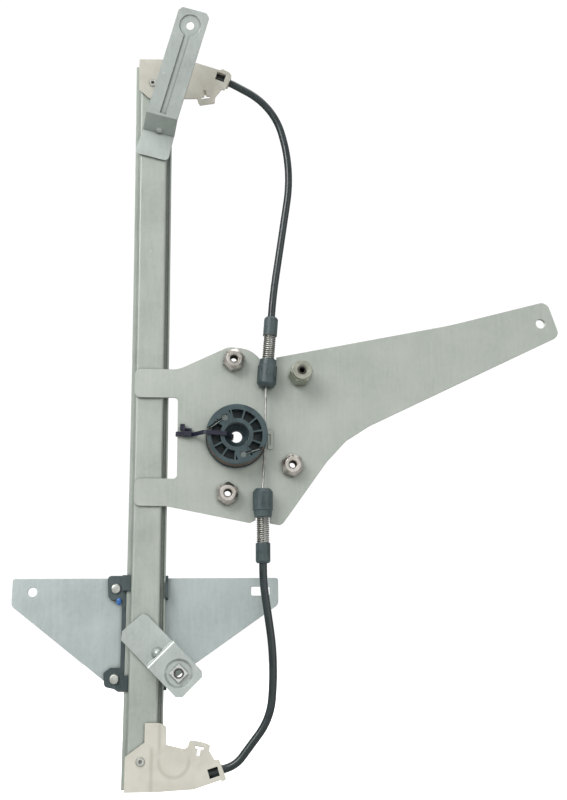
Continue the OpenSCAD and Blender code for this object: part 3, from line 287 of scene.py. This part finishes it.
def turnedSteel(name, look):
    material, tree, shader = newMaterial(name, Metallic=1.0)
    bloom = useGroup(tree, zincBloom, turnedMarks["bloom"])
    wear = useGroup(tree, handlingWear, turnedMarks["wear"])
    colour = mixColour(tree, bloom["Cloud"], look["shade"], look["light"])
    colour = tint(tree, colour, wear["Scratch"], turnedMarks["scratch"], look["bright"])
    # painted shade and dirt in the corners
    colour = paintedShadeAndGrimeIn(tree, colour, turnedMarks["paintedShadeAndGrime"], turnedMarks["reach"], look["paintedShadeAndGrime"])
    rough = patchyRough(tree, bloom["Cloud"], look["rough"], turnedMarks["spread"])
    grooves = calculate(tree, "MULTIPLY", wear["Scratch"], turnedMarks["scratchDepth"])
    height = calculate(tree, "ADD", bloom["Fine"], grooves)
    finishShader(tree, shader, colour, rough, height, turnedMarks["relief"], turnedMarks["edge"])
    return material


# Dark plastic: slider, tensioners, drum, conduits and tie

mouldedMarks = {"wear": {"Rub Scale": 90, "Speck Scale": 230}, "rubbed": 0.25, "spread": (0.06, 0.08),
                "depth": 0.04 * mm, "edge": 0.25 * mm}
darkPlasticLook = {"bump": 0.3, "gloss": 0.5, "grain": 2300, "rough": 0.42, "dust": 0.35,
                   "shade": srgb(52, 66, 68), "light": srgb(72, 86, 88),
                   "rubbed": srgb(92, 104, 106), "speck": srgb(150, 156, 154)}
drumLook = {"bump": 0.3, "gloss": 0.5, "grain": 1900, "rough": 0.38, "dust": 0.5,
            "shade": srgb(46, 62, 66), "light": srgb(62, 80, 84),
            "rubbed": srgb(84, 99, 102), "speck": srgb(150, 154, 148)}
conduitLook = {"bump": 0.05, "gloss": 0.6, "grain": 2600, "rough": 0.26, "dust": 0.08,
               "shade": srgb(26, 36, 38), "light": srgb(36, 48, 50),
               "rubbed": srgb(54, 66, 68), "speck": srgb(100, 106, 106)}
tieLook = {"bump": 0.1, "gloss": 0.5, "grain": 2600, "rough": 0.35, "dust": 0.05,
           "shade": srgb(18, 20, 38), "light": srgb(28, 31, 52),
           "rubbed": srgb(44, 47, 66), "speck": srgb(80, 84, 92)}


def mouldedPlastic(name, look):
    material, tree, shader = newMaterial(name, Specular_IOR_Level=look["gloss"])
    grain = useGroup(tree, mouldGrain, {"Grain Scale": look["grain"]})
    wear = useGroup(tree, handlingWear, mouldedMarks["wear"])
    colour = mixColour(tree, grain["Flow"], look["shade"], look["light"])
    colour = tint(tree, colour, wear["Rub"], mouldedMarks["rubbed"], look["rubbed"])
    colour = tint(tree, colour, wear["Speck"], look["dust"], look["speck"])
    rough = patchyRough(tree, grain["Flow"], look["rough"], mouldedMarks["spread"])
    relief = (look["bump"], mouldedMarks["depth"])
    finishShader(tree, shader, colour, rough, grain["Grain"], relief, mouldedMarks["edge"])
    return material


# Blue marking paint, dried in a thick drop

paintLook = {"gloss": 0.5, "coat": 0.3, "skin": 900, "rough": (0.3, 0.45), "relief": (0.5, 0.1 * mm),
             "thin": srgb(58, 122, 190), "thick": srgb(18, 78, 160)}


def markingPaint(name, look):
    material, tree, shader = newMaterial(name, Specular_IOR_Level=look["gloss"], Coat_Weight=look["coat"])
    noise = put(tree, "TexNoise", {"Vector": objectPlace(tree), "Scale": look["skin"], "Detail": 3})
    skin = noise.outputs[0]
    colour = mixColour(tree, skin, look["thin"], look["thick"])
    finishShader(tree, shader, colour, ramp(tree, skin, 0.3, 0.7, *look["rough"]), skin, look["relief"])
    return material


# Pale nylon of the two cable guides, with painted shade along the walls of the bottom one

bottomGuideWallShade = {"bowl": (-37.4 * mm, -198.2 * mm), "bowlRadius": 9 * mm, "bowlFade": 4 * mm,
                   "blockEdge": -50.7 * mm, "blockFade": 1 * mm,
                   "tabEdge": -46.1 * mm, "tabFoot": -190.5 * mm, "tabFade": 6 * mm,
                   "wide": 1.6 * mm, "strength": 0.6, "shade": srgb(176, 172, 160)}
nylonLook = {"glow": 0.25, "glowDepth": 2 * mm, "glowColour": (1.0, 0.9, 0.75), "gloss": 0.45,
             "grain": 1500, "speckScale": 260, "rubs": 0.3, "dust": 0.4, "rough": (0.34, 0.46),
             "relief": (0.2, 0.04 * mm), "edge": 0.3 * mm,
             "paintedShadeAndGrime": srgb(140, 135, 122), "reach": 2 * mm, "paintedShadeAndGrimeAmount": 0.5,
             "shade": srgb(200, 197, 186), "light": srgb(209, 207, 196), "rubbed": srgb(204, 201, 189),
             "speck": srgb(168, 162, 148)}


def flank(tree, value, edge, wide):  # 1 along an edge of the moulding, 0 away from it
    away = calculate(tree, "ABSOLUTE", calculate(tree, "SUBTRACT", value, edge))
    return ramp(tree, away, 0, wide, 1, 0)


def paintedWallShade(tree, form):  # where shade is painted along three walls: the bowl's lower half, the block's and the tab's sides
    axes = put(tree, "SeparateXYZ", {"Vector": objectPlace(tree)}).outputs
    flat = put(tree, "CombineXYZ", {"X": axes["X"], "Z": axes["Z"]}).outputs[0]
    middleX, middleZ = form["bowl"]
    fromMiddle = put(tree, "VectorMath", {0: flat, 1: (middleX, 0, middleZ)}, operation="DISTANCE")
    away = fromMiddle.outputs["Value"]
    lowHalf = ramp(tree, axes["Z"], middleZ, middleZ + form["bowlFade"], 1, 0)
    bowl = calculate(tree, "MULTIPLY", flank(tree, away, form["bowlRadius"], form["wide"]), lowHalf)
    foot, top = form["tabFoot"], form["tabFoot"] + form["blockFade"]
    below = ramp(tree, axes["Z"], foot - form["blockFade"], top, 1, 0)
    block = calculate(tree, "MULTIPLY", flank(tree, axes["X"], form["blockEdge"], form["wide"]), below)
    above = ramp(tree, axes["Z"], foot - form["tabFade"], top)
    tab = calculate(tree, "MULTIPLY", flank(tree, axes["X"], form["tabEdge"], form["wide"]), above)
    return calculate(tree, "MAXIMUM", bowl, calculate(tree, "MAXIMUM", block, tab))


def paleNylon(name, look, form=None):
    material, tree, shader = newMaterial(
        name, Specular_IOR_Level=look["gloss"], Subsurface_Weight=look["glow"],
        Subsurface_Scale=look["glowDepth"], Subsurface_Radius=look["glowColour"])
    grain = useGroup(tree, mouldGrain, {"Grain Scale": look["grain"]})
    wear = useGroup(tree, handlingWear, {"Speck Scale": look["speckScale"]})
    colour = mixColour(tree, grain["Flow"], look["shade"], look["light"])
    colour = tint(tree, colour, wear["Rub"], look["rubs"], look["rubbed"])
    colour = tint(tree, colour, wear["Speck"], look["dust"], look["speck"])
    rough = ramp(tree, grain["Flow"], 0, 1, *look["rough"])
    if form:
        # painted shade along the walls of the bottom guide
        colour = tint(tree, colour, paintedWallShade(tree, form), form["strength"], form["shade"])
    # painted shade and dirt in the corners
    colour = paintedShadeAndGrimeIn(tree, colour, look["paintedShadeAndGrime"], look["reach"], look["paintedShadeAndGrimeAmount"])
    finishShader(tree, shader, colour, rough, grain["Grain"], look["relief"], look["edge"])
    return material


# Steel strands of the cable: dull and rusty on the drum, cleaner on the free runs, whose lighter colour also
# holds a painted sheen

strandMarks = {"metallic": 0.85, "bloom": {"Patch Scale": 160, "Crystal Scale": 1200}, "rough": (0.32, 0.5),
               "relief": (0.3, 0.03 * mm)}
# the free runs' light clean tone is cleaner steel with a painted sheen
sheenRunCableLook = {"rust": 0.12, "clean": srgb(200, 202, 198), "greased": srgb(132, 134, 130),
                "brown": srgb(142, 122, 106)}
woundCableLook = {"rust": 0.6, "clean": srgb(150, 142, 132), "greased": srgb(92, 84, 78),
                  "brown": srgb(118, 92, 78)}


def strandedSteel(name, look):
    material, tree, shader = newMaterial(name, Metallic=strandMarks["metallic"])
    bloom = useGroup(tree, zincBloom, strandMarks["bloom"])
    colour = mixColour(tree, bloom["Cloud"], look["clean"], look["greased"])
    rusty = ramp(tree, bloom["Crystal"], 0.35, 0.8)
    colour = tint(tree, colour, rusty, look["rust"], look["brown"])
    rough = ramp(tree, bloom["Cloud"], 0, 1, *strandMarks["rough"])
    finishShader(tree, shader, colour, rough, bloom["Fine"], strandMarks["relief"])
    return material


# The finish of each node

railSteel = sheetSteel("railSteel", railSteelLook)
plateSteel = sheetSteel("plateSteel", plateSteelLook)
carrierSteel = sheetSteel("carrierSteel", carrierSteelLook)
bracketSteel = sheetSteel("bracketSteel", bracketSteelLook)
nickelSteel = turnedSteel("nickelSteel", nickelLook)
yellowZinc = turnedSteel("yellowZinc", yellowZincLook)
rivetSteel = turnedSteel("rivetSteel", rivetLook)
castZinc = turnedSteel("castZinc", castZincLook)
springSteel = turnedSteel("springSteel", springLook)
brightZinc = turnedSteel("brightZinc", brightZincLook)
threadSteel = turnedSteel("threadSteel", threadLook)
darkPlastic = mouldedPlastic("darkPlastic", darkPlasticLook)
drumPlastic = mouldedPlastic("drumPlastic", drumLook)
conduitPlastic = mouldedPlastic("conduitPlastic", conduitLook)
tiePlastic = mouldedPlastic("tiePlastic", tieLook)
bluePaint = markingPaint("bluePaint", paintLook)
nylon = paleNylon("nylon", nylonLook)
bottomNylon = paleNylon("bottomNylon", nylonLook, bottomGuideWallShade)
sheenRunCable = strandedSteel("sheenRunCable", sheenRunCableLook)
woundCableSteel = strandedSteel("woundCableSteel", woundCableLook)

finishOfNode = {  # the springs and the wound cable are replaced below, by pieces with their own finish
    "guide_rail": railSteel, "motor_plate": plateSteel, "carrier_plate": carrierSteel,
    "upper_bracket": bracketSteel, "lower_bracket": bracketSteel,
    "motor_nuts": nickelSteel, "bracket_square_nut": brightZinc, "standoff": yellowZinc,
    "guide_rivets": rivetSteel, "slider_rivets": rivetSteel,
    "drum_nipples": castZinc, "cable_end_nipples": castZinc,
    "cable_drum": drumPlastic, "slider": darkPlastic,
    "upper_tension_socket": darkPlastic, "lower_tension_socket": darkPlastic,
    "upper_tension_cap": darkPlastic, "lower_tension_cap": darkPlastic,
    "upper_conduit": conduitPlastic, "lower_conduit": conduitPlastic, "conduit_ferrules": conduitPlastic,
    "top_cable_guide": nylon, "bottom_cable_guide": bottomNylon,
    "upper_drive_cable": sheenRunCable, "lower_drive_cable": sheenRunCable, "cable_tie": tiePlastic,
}
for nodeName, finish in finishOfNode.items():
    nodes[nodeName].data.materials.clear()
    nodes[nodeName].data.materials.append(finish)
print("finishes set on", len(finishOfNode), "nodes")


# Making new pieces

def deselectAll():
    bpy.ops.object.select_all(action="DESELECT")


def selectOnly(piece):
    deselectAll()
    piece.select_set(True)
    bpy.context.view_layer.objects.active = piece


def applyModifiers(piece):
    selectOnly(piece)
    for modifier in list(piece.modifiers):
        bpy.ops.object.modifier_apply(modifier=modifier.name)


def placePiece(piece, place):  # the place goes into the mesh, and the object stays at the origin
    piece.data.transform(place @ piece.matrix_world)
    piece.matrix_world = Matrix.Identity(4)


def finishPiece(piece, name, material, smooth=40):
    piece.name = name
    piece.data.name = name
    piece.data.materials.clear()
    piece.data.materials.append(material)
    selectOnly(piece)
    bpy.ops.object.shade_smooth_by_angle(angle=math.radians(smooth))
    deselectAll()


def closeEnds(piece, sides):  # an open end has at most that many sides
    selectOnly(piece)
    bpy.ops.object.mode_set(mode="EDIT")
    bpy.ops.mesh.select_all(action="SELECT")
    bpy.ops.mesh.remove_doubles(threshold=1e-6)
    bpy.ops.mesh.fill_holes(sides=sides)
    bpy.ops.mesh.select_all(action="SELECT")
    bpy.ops.mesh.normals_make_consistent(inside=False)
    bpy.ops.object.mode_set(mode="OBJECT")


def screwUp(piece, turns, rise, steps):  # winds a profile round the Z axis
    coil = piece.modifiers.new("coil", "SCREW")
    coil.axis = "Z"
    coil.angle = math.radians(360 * turns)
    coil.screw_offset = rise
    coil.steps = steps
    coil.render_steps = steps
    coil.use_merge_vertices = False
    applyModifiers(piece)


# Tensioners: the end of each socket that faces the drum, and the upper one's lean in degrees

tensioner = {"upper": (19.2 * mm, -7.5 * mm, 32.7 * mm), "lower": (16.8 * mm, -7.5 * mm, -34.1 * mm),
             "lean": 4.4}
lean = Matrix.Rotation(math.radians(tensioner["lean"]), 4, "Y")
upsideDown = Matrix.Rotation(math.pi, 4, "X")
upperTensioner = Matrix.Translation(tensioner["upper"]) @ lean
lowerTensioner = Matrix.Translation(tensioner["lower"]) @ upsideDown


# Tension springs, as one helix each with flat ground ends

spring = {"outer": 8.1 * mm, "wire": 1.1 * mm, "pitch": 1.32 * mm, "turns": 19, "floor": 10 * mm,
          "clearance": 0.05 * mm, "wireSides": 14, "stepsPerTurn": 32}


def makeSpring(name, replaced, place):
    coilRadius = (spring["outer"] - spring["wire"]) / 2
    length = spring["turns"] * spring["pitch"] + spring["wire"]
    low = spring["floor"] + spring["clearance"]
    high = low + length - 2 * spring["clearance"]
    coils = spring["turns"] + 1
    deselectAll()
    bpy.ops.mesh.primitive_circle_add(vertices=spring["wireSides"], radius=spring["wire"] / 2,
                                      location=(coilRadius, 0, low), rotation=(math.pi / 2, 0, 0))
    piece = bpy.context.object
    placePiece(piece, Matrix.Identity(4))
    screwUp(piece, coils, length, coils * spring["stepsPerTurn"])
    bpy.ops.object.mode_set(mode="EDIT")
    for height, cutAbove in ((low, False), (high, True)):
        bpy.ops.mesh.select_all(action="SELECT")
        bpy.ops.mesh.bisect(plane_co=(0, 0, height), plane_no=(0, 0, 1), use_fill=True,
                            clear_inner=not cutAbove, clear_outer=cutAbove)
    bpy.ops.object.mode_set(mode="OBJECT")
    closeEnds(piece, sides=40)
    placePiece(piece, place)
    finishPiece(piece, name, springSteel, smooth=50)
    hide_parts(replaced)
    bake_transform(piece)


makeSpring("upperSpring", "upper_tension_spring", upperTensioner)
makeSpring("lowerSpring", "lower_tension_spring", lowerTensioner)
print("springs wound")


# Stranded cable: six strands twisted on a core, wound in the drum's grooves and led to the tensioners

rope = {"radius": 0.84 * mm, "strand": 0.29 * mm, "strands": 6, "strandSides": 7, "coreSides": 10,
        "lay": 8 * mm, "stepsPerLay": 16}
winding = {"radius": 18.3 * mm, "grooves": 5, "groovePitch": 1.9 * mm, "firstGroove": -10.7 * mm,
           "runStart": 7.716 * mm}


def makeRope(length, lays):  # stands on the origin, along Z
    reach = rope["radius"] - rope["strand"]
    deselectAll()
    bpy.ops.mesh.primitive_circle_add(vertices=rope["coreSides"], radius=reach, location=(0, 0, 0))
    piece = bpy.context.object
    bpy.ops.object.mode_set(mode="EDIT")
    for i in range(rope["strands"]):
        angle = math.radians(360 / rope["strands"] * i)
        bpy.ops.mesh.primitive_circle_add(vertices=rope["strandSides"], radius=rope["strand"],
                                          location=(reach * math.cos(angle), reach * math.sin(angle), 0))
    bpy.ops.object.mode_set(mode="OBJECT")
    screwUp(piece, lays, length, round(lays * rope["stepsPerLay"]))
    return piece


def makeWinding():
    around = 2 * math.pi * winding["radius"]
    piece = makeRope(around, round(around / rope["lay"]))
    for vertex in piece.data.vertices:  # bends the straight rope round the drum's axis
        turn = vertex.co.z / winding["radius"]
        reach = winding["radius"] + vertex.co.x
        along = winding["firstGroove"] + vertex.co.y
        vertex.co = Vector((reach * math.cos(turn), along, reach * math.sin(turn)))
    row = piece.modifiers.new("grooves", "ARRAY")
    row.count = winding["grooves"]
    row.use_relative_offset = False
    row.use_constant_offset = True
    row.constant_offset_displace = (0, winding["groovePitch"], 0)
    applyModifiers(piece)
    closeEnds(piece, sides=4)  # nothing is left open, because each turn meets its own start
    finishPiece(piece, "woundStrands", woundCableSteel)
    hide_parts("wound_cable")
    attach(piece, "drum")


def makeRun(name, start, end):  # from a groove of the drum to a tensioner
    way = Vector(end) - Vector(start)
    piece = makeRope(way.length, way.length / rope["lay"])
    closeEnds(piece, sides=rope["coreSides"])
    turn = way.to_track_quat("Z", "Y").to_matrix().to_4x4()
    placePiece(piece, Matrix.Translation(start) @ turn)
    finishPiece(piece, name, sheenRunCable)
    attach(piece, "frame")


makeWinding()
firstGroove = winding["firstGroove"]
lastGroove = firstGroove + (winding["grooves"] - 1) * winding["groovePitch"]
makeRun("upperRunStrands", (winding["radius"], firstGroove, winding["runStart"]), tensioner["upper"])
makeRun("lowerRunStrands", (winding["radius"], lastGroove, -winding["runStart"]), tensioner["lower"])
print("cable wound")


# Thread in the tapped holes, one coil for each threaded mount of the record

thread = {"pitch": 0.8 * mm, "height": 0.42 * mm, "sunk": 0.06 * mm, "sides": 4, "stepsPerTurn": 24}


def makeThread(mount):
    length, bore = mount["dims"]["length_mm"] * mm, mount["dims"]["r_mm"] * mm
    axis = Vector(mount["axis"]).normalized()
    turns = round(length / thread["pitch"]) - 1
    deselectAll()
    bpy.ops.mesh.primitive_circle_add(vertices=thread["sides"], radius=thread["height"],
                                      location=(bore + thread["sunk"], 0, thread["height"] + thread["sunk"]),
                                      rotation=(math.pi / 2, 0, 0))
    piece = bpy.context.object
    placePiece(piece, Matrix.Identity(4))
    screwUp(piece, turns, turns * thread["pitch"], turns * thread["stepsPerTurn"])
    closeEnds(piece, sides=thread["sides"])
    start = Vector(mount["pos_m"]) - axis * length / 2
    placePiece(piece, Matrix.Translation(start) @ axis.to_track_quat("Z", "Y").to_matrix().to_4x4())
    finishPiece(piece, mount["name"] + "_thread", threadSteel, smooth=30)
    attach(piece, "frame")


for mount in frame["record"]["mounts"]:
    if mount["kind"] == "threaded_hole":
        makeThread(mount)
print("threads cut")


# Set heads of the slider's rivets, and the drop of marking paint under the upper one

rivetCap = {"size": (2.9 * mm, 0.4 * mm, 2.9 * mm), "sunk": 0.3 * mm}
paintDrop = {"place": (-73.5 * mm, 7.4 * mm, -103.8 * mm), "size": (1.6 * mm, 0.9 * mm, 2.3 * mm)}


def makeDrop(name, place, size, material):  # a flattened ball
    deselectAll()
    bpy.ops.mesh.primitive_uv_sphere_add(segments=32, ring_count=16, radius=1)
    piece = bpy.context.object
    placePiece(piece, Matrix.Translation(place) @ Matrix.Diagonal((*size, 1)))
    finishPiece(piece, name, material)
    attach(piece, "carrier")


def rivetFront(upper):  # middle of one rivet's front face, from the frame's mesh
    points = [vertex.co for vertex in nodes["slider_rivets"].data.vertices]
    middle = sum(point.z for point in points) / len(points)
    own = [point for point in points if (point.z > middle) == upper]
    x = (min(p.x for p in own) + max(p.x for p in own)) / 2
    z = (min(p.z for p in own) + max(p.z for p in own)) / 2
    return Vector((x, min(p.y for p in own) + rivetCap["sunk"], z))


makeDrop("upperRivetCap", rivetFront(True), rivetCap["size"], rivetSteel)
makeDrop("lowerRivetCap", rivetFront(False), rivetCap["size"], rivetSteel)
makeDrop("paintDrop", paintDrop["place"], paintDrop["size"], bluePaint)
print("rivets and paint set")


# Lower tension socket, turned about its own axis so that its foot and pegs meet the plate

def makeLowerSocket():
    piece = bpy.data.objects.new("lowerSocket", nodes["lower_tension_socket"].data.copy())
    scene.collection.objects.link(piece)
    axis = Vector((tensioner["lower"][0], tensioner["lower"][1], 0))
    halfTurn = Matrix.Rotation(math.pi, 4, "Z")
    placePiece(piece, Matrix.Translation(axis) @ halfTurn @ Matrix.Translation(-axis))
    finishPiece(piece, "lowerSocket", darkPlastic, smooth=35)
    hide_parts("lower_tension_socket")
    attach(piece, "frame")


makeLowerSocket()
print("pieces made")


# Studio: a white floor and sky, five lights and the camera

studio = {"floorSize": 6.0, "floorDrop": 0.03, "floorColour": srgb(178, 178, 176), "floorGlow": 1.2,
          "skyLow": 0.2, "skyHigh": 0.62, "horizon": (-0.6, 0.8), "backdrop": 1.05}
lights = {
    "keyLight": {"place": (-0.9, -1.2, 0.9), "target": (0, 0, 0.05), "size": 0.9, "power": 18},
    "fillLight": {"place": (1.1, -1.1, 0.1), "target": (0, 0, 0), "size": 1.1, "power": 4},
    "frontLight": {"place": (0.2, -1.5, 0), "target": (0, 0, 0), "size": 0.7, "power": 1.1},
    "backLight": {"place": (-0.5, 1.6, 0.7), "target": (0, 0, 0), "size": 1.0, "power": 9},
    "topLight": {"place": (0.1, -0.1, 1.4), "target": (0, 0, 0), "size": 1.2, "power": 8},
}
view = {"eye": (-0.02487, -0.67813, -0.11837), "forward": (0.08049, 0.97502, 0.20701), "roll": -0.453,
        "lens": 47.61, "sensor": 36, "nearest": 0.01}


def makeFloor():
    lowest = cadBounds[0][2]
    deselectAll()
    bpy.ops.mesh.primitive_plane_add(size=studio["floorSize"], location=(0, 0, lowest - studio["floorDrop"]))
    floor = bpy.context.object
    floor.name = "studioFloor"
    material, tree, shader = newMaterial("floorPaint", Base_Color=studio["floorColour"], Roughness=0.9,
                                         Emission_Color=(1, 1, 1, 1))
    seen = calculate(tree, "MULTIPLY", put(tree, "LightPath").outputs["Is Camera Ray"], studio["floorGlow"])
    tree.links.new(seen, shader.inputs["Emission Strength"])
    floor.data.materials.append(material)
    deselectAll()


def makeWorld():  # a soft sky for the lighting, and a plain white one for the camera
    world = bpy.data.worlds.new("studioWorld")
    world.use_nodes = True
    scene.world = world
    tree = world.node_tree
    glow = tree.nodes["Background"]
    glow.inputs["Color"].default_value = (1, 1, 1, 1)
    height = put(tree, "SeparateXYZ", {"Vector": put(tree, "TexCoord").outputs["Generated"]}).outputs["Z"]
    sky = ramp(tree, height, *studio["horizon"], studio["skyLow"], studio["skyHigh"])
    tree.links.new(sky, glow.inputs["Strength"])
    seen = put(tree, "Background", {"Color": (1, 1, 1, 1), "Strength": studio["backdrop"]})
    choose = put(tree, "MixShader", {"Fac": put(tree, "LightPath").outputs["Is Camera Ray"]})
    tree.links.new(glow.outputs[0], choose.inputs[1])
    tree.links.new(seen.outputs[0], choose.inputs[2])
    tree.links.new(choose.outputs[0], tree.nodes["World Output"].inputs["Surface"])


def addLight(name, light):
    lamp = bpy.data.lights.new(name, "AREA")
    lamp.shape = "SQUARE"
    lamp.size = light["size"]
    lamp.energy = light["power"]
    holder = bpy.data.objects.new(name, lamp)
    way = Vector(light["target"]) - Vector(light["place"])
    holder.location = light["place"]
    holder.rotation_euler = way.to_track_quat("-Z", "Y").to_euler()
    scene.collection.objects.link(holder)


def addCamera():
    lens = bpy.data.cameras.new("camera")
    lens.lens = view["lens"]
    lens.sensor_width = view["sensor"]
    lens.clip_start = view["nearest"]
    camera = bpy.data.objects.new("camera", lens)
    roll = Quaternion((0, 0, 1), math.radians(view["roll"]))
    turn = Vector(view["forward"]).to_track_quat("-Z", "Y") @ roll
    camera.matrix_world = Matrix.Translation(view["eye"]) @ turn.to_matrix().to_4x4()
    scene.collection.objects.link(camera)
    scene.camera = camera


makeFloor()
makeWorld()
for name, light in lights.items():
    addLight(name, light)
addCamera()
scene.view_settings.view_transform = "Standard"
print("studio ready")
